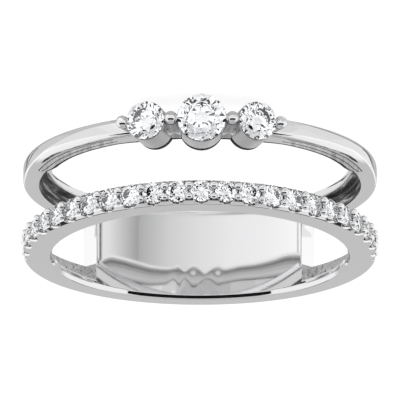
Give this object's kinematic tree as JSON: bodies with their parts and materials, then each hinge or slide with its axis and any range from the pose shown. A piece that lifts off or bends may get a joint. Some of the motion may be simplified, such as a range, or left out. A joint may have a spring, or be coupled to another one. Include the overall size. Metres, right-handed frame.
{
  "type": "ring",
  "caption": "Finger ring with two bands held apart by a gap and joined at the back: one domed with round stones in cups, one set with a row of small stones.",
  "frame": {"origin": "on the floor under the middle of the part's box, with the ring lying on its side; the finger axis is 0.69 mm behind it", "axes": "+Z along the finger axis, from the three-stone band up to the stone-set band; the stones of the three-stone band face -Y; +X is to the right of a viewer who looks along +Y"},
  "size_m": [0.021, 0.022, 0.0066],
  "materials": {
    "white_metal": "polished",
    "clear_stone": "faceted and polished"
  },
  "bodies": {
    "root": {"shank": "white_metal", "centre_stone": "clear_stone", "side_stone_left": "clear_stone", "side_stone_right": "clear_stone", "row_stone_1": "clear_stone", "row_stone_2": "clear_stone", "row_stone_3": "clear_stone", "row_stone_4": "clear_stone", "row_stone_5": "clear_stone", "row_stone_6": "clear_stone", "row_stone_7": "clear_stone", "row_stone_8": "clear_stone", "row_stone_9": "clear_stone", "row_stone_10": "clear_stone", "row_stone_11": "clear_stone", "row_stone_12": "clear_stone", "row_stone_13": "clear_stone", "row_stone_14": "clear_stone", "row_stone_15": "clear_stone", "row_stone_16": "clear_stone", "row_stone_17": "clear_stone", "row_stone_18": "clear_stone", "row_stone_19": "clear_stone", "row_stone_20": "clear_stone", "row_stone_21": "clear_stone", "row_stone_22": "clear_stone", "row_stone_23": "clear_stone"}
  },
  "joints": []
}
